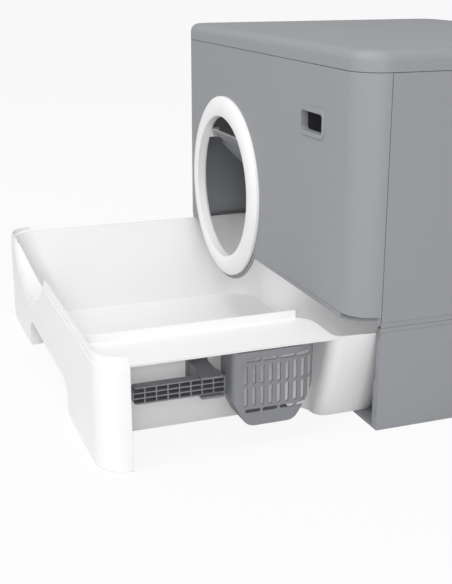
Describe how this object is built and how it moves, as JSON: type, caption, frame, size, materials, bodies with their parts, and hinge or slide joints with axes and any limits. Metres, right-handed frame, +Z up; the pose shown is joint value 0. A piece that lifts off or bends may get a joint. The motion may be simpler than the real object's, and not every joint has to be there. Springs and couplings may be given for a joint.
{
  "type": "drawer litter box",
  "caption": "Enclosed litter box: grey panelled hood with a round white flap door on an open-fronted base, white pull-out drawer tray, and a slotted scoop stored in the drawer's side bay.",
  "frame": {"origin": "centre of the closed footprint of base and hood, on the underside of the base floor", "axes": "+Z up, -Y out of the front, where the door and the drawer are, +X towards the scoop bay; at rest the drawer is pulled out 276 mm along -Y"},
  "size_m": [0.56, 0.686, 0.41],
  "materials": {
    "grey_moulding": "fine matt moulded polypropylene, mid grey",
    "white_moulding": "satin moulded polypropylene, white",
    "dark_moulding": "satin moulded polypropylene, darker grey",
    "smoke_flap": "smoky translucent moulded plastic",
    "screw_steel": "zinc plated"
  },
  "bodies": {
    "base": {"base_shell": "grey_moulding"},
    "hood": {"hood_front_panel": "grey_moulding", "hood_right_panel": "grey_moulding", "hood_left_panel": "grey_moulding", "hood_rear_panel": "grey_moulding", "top_cover": "grey_moulding", "door_ring": "white_moulding", "door_locking_ring": "white_moulding", "ring_screws": "screw_steel", "flap_pivots": "screw_steel", "handhold_bezel": "grey_moulding"},
    "flap": {"door_flap": "smoke_flap"},
    "drawer": {"drawer_front": "white_moulding", "litter_tray": "white_moulding", "scoop_clip": "dark_moulding"},
    "scoop": {"litter_scoop": "dark_moulding"}
  },
  "joints": [
    {"name": "drawer_slide", "type": "slide", "parent": "base", "child": "drawer", "axis": [0, -1, 0], "range_m": [-0.276, 0]},
    {"name": "scoop_lift_out", "type": "slide", "parent": "drawer", "child": "scoop", "axis": [1, 0, 0], "range_m": [0, 0.09]},
    {"name": "hood_lift_off", "type": "slide", "parent": "base", "child": "hood", "axis": [0, 0, 1], "range_m": [0, 0.15]},
    {"name": "flap_swing", "type": "hinge", "parent": "hood", "child": "flap", "pos_m": [-0.108, -0.196, 0.2635], "axis": [1, 0, 0], "range_deg": [-126, 34]}
  ]
}
